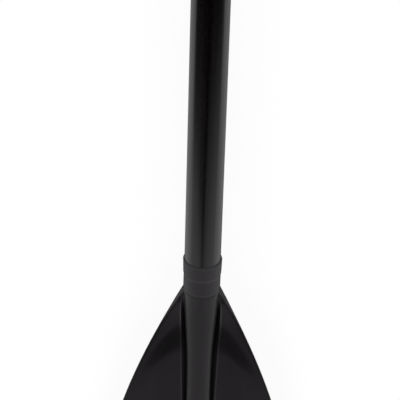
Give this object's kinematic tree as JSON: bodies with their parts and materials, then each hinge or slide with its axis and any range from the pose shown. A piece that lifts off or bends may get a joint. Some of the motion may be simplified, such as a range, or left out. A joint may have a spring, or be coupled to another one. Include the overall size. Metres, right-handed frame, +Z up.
{
  "type": "rowing oar",
  "caption": "Black take-down rowing oar: tubular shaft, moulded blade with a spine, shrunk neck sleeve, snap-button ferrule, rowlock sleeve, clamped stop collar and ribbed grip.",
  "frame": {"origin": "on the floor the oar lies on, halfway along its length and under the shaft's axis", "axes": "+X along the shaft towards the handle, +Z up and square to the blade's spined back, +Y to the left of the oar seen from the handle"},
  "size_m": [1.5, 0.182, 0.072],
  "materials": {
    "shaft_lacquer": "gloss black lacquer with fine flake",
    "blade_plastic": "satin moulded black",
    "sleeve_plastic": "satin shrunk sleeve",
    "ferrule_plastic": "satin moulded black",
    "wear_plastic": "waxy moulded black",
    "collar_plastic": "grained moulded black",
    "grip_rubber": "matt ribbed rubber",
    "float_foam": "closed-cell foam",
    "stainless_steel": "brushed stainless"
  },
  "bodies": {
    "lower_half": {"blade": "blade_plastic", "neck_sleeve": "sleeve_plastic", "blade_pin": "stainless_steel", "lower_shaft": "shaft_lacquer", "lower_float_plug": "float_foam", "ferrule": "ferrule_plastic", "ferrule_rivet_left": "stainless_steel", "ferrule_rivet_right": "stainless_steel", "snap_spring": "stainless_steel"},
    "snap_button": {"snap_button": "stainless_steel"},
    "upper_half": {"upper_shaft": "shaft_lacquer", "upper_float_plug": "float_foam", "wear_sleeve": "wear_plastic", "hand_grip": "grip_rubber", "grip_end_plug": "grip_rubber"},
    "stop_collar": {"stop_collar_upper": "collar_plastic", "stop_collar_lower": "collar_plastic", "collar_screw_left": "stainless_steel", "collar_screw_right": "stainless_steel", "collar_nut_left": "stainless_steel", "collar_nut_right": "stainless_steel"}
  },
  "joints": [
    {"name": "takedown", "type": "slide", "parent": "lower_half", "child": "upper_half", "axis": [1, 0, 0], "range_m": [0, 0.15]},
    {"name": "button_press", "type": "slide", "parent": "lower_half", "child": "snap_button", "axis": [0, 0, -1], "range_m": [0, 0.0052], "stiffness_N_per_m": 1500, "deforming": ["snap_spring"]},
    {"name": "collar_slide", "type": "slide", "parent": "upper_half", "child": "stop_collar", "axis": [1, 0, 0], "range_m": [-0.155, 0.039]}
  ]
}
